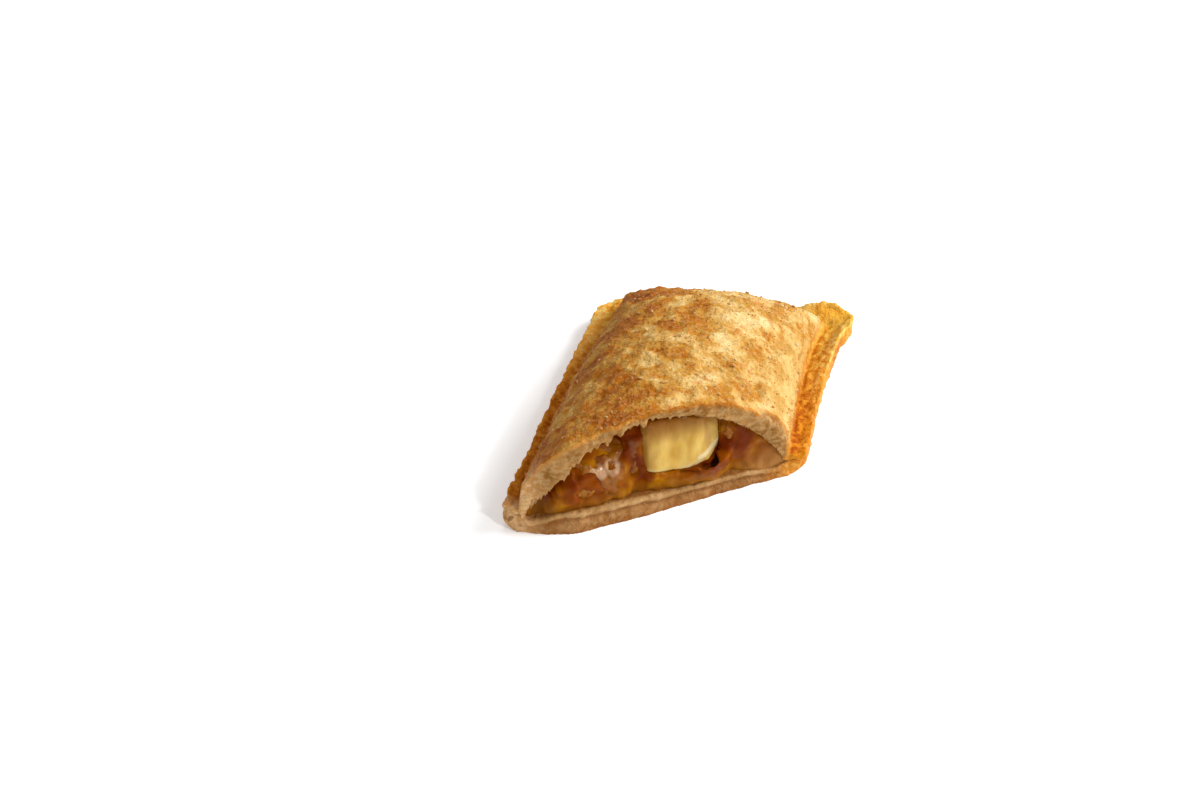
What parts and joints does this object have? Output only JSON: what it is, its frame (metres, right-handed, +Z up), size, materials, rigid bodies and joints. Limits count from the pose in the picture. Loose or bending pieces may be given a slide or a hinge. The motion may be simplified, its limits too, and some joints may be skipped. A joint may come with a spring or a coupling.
{
  "type": "apple pie half",
  "caption": "Half of a baked rectangular apple pie cut on the bias, with domed top crust, pinched rim, flat base and soft apple filling with chunks showing at the cut.",
  "frame": {"origin": "middle of the half pie's bounding box, on the surface that it lies on", "axes": "+X across the pie towards the rim at the blunt end of the cut, +Y along the pie towards the closed end, +Z up"},
  "size_m": [0.0544, 0.0842, 0.0252],
  "materials": {
    "baked_crust": "dry, baked, mottled golden",
    "base_crust": "dry, pale tan crumb",
    "apple_filling": "wet, glossy amber gel",
    "cooked_apple": "moist, pale yellow, slightly translucent",
    "glazed_apple": "moist apple under amber gel"
  },
  "bodies": {
    "root": {"top_crust": "baked_crust", "bottom_crust": "base_crust", "filling": "apple_filling", "apple_chunk_main": "cooked_apple", "apple_chunk_left": "glazed_apple", "apple_chunk_middle": "glazed_apple"}
  },
  "joints": []
}
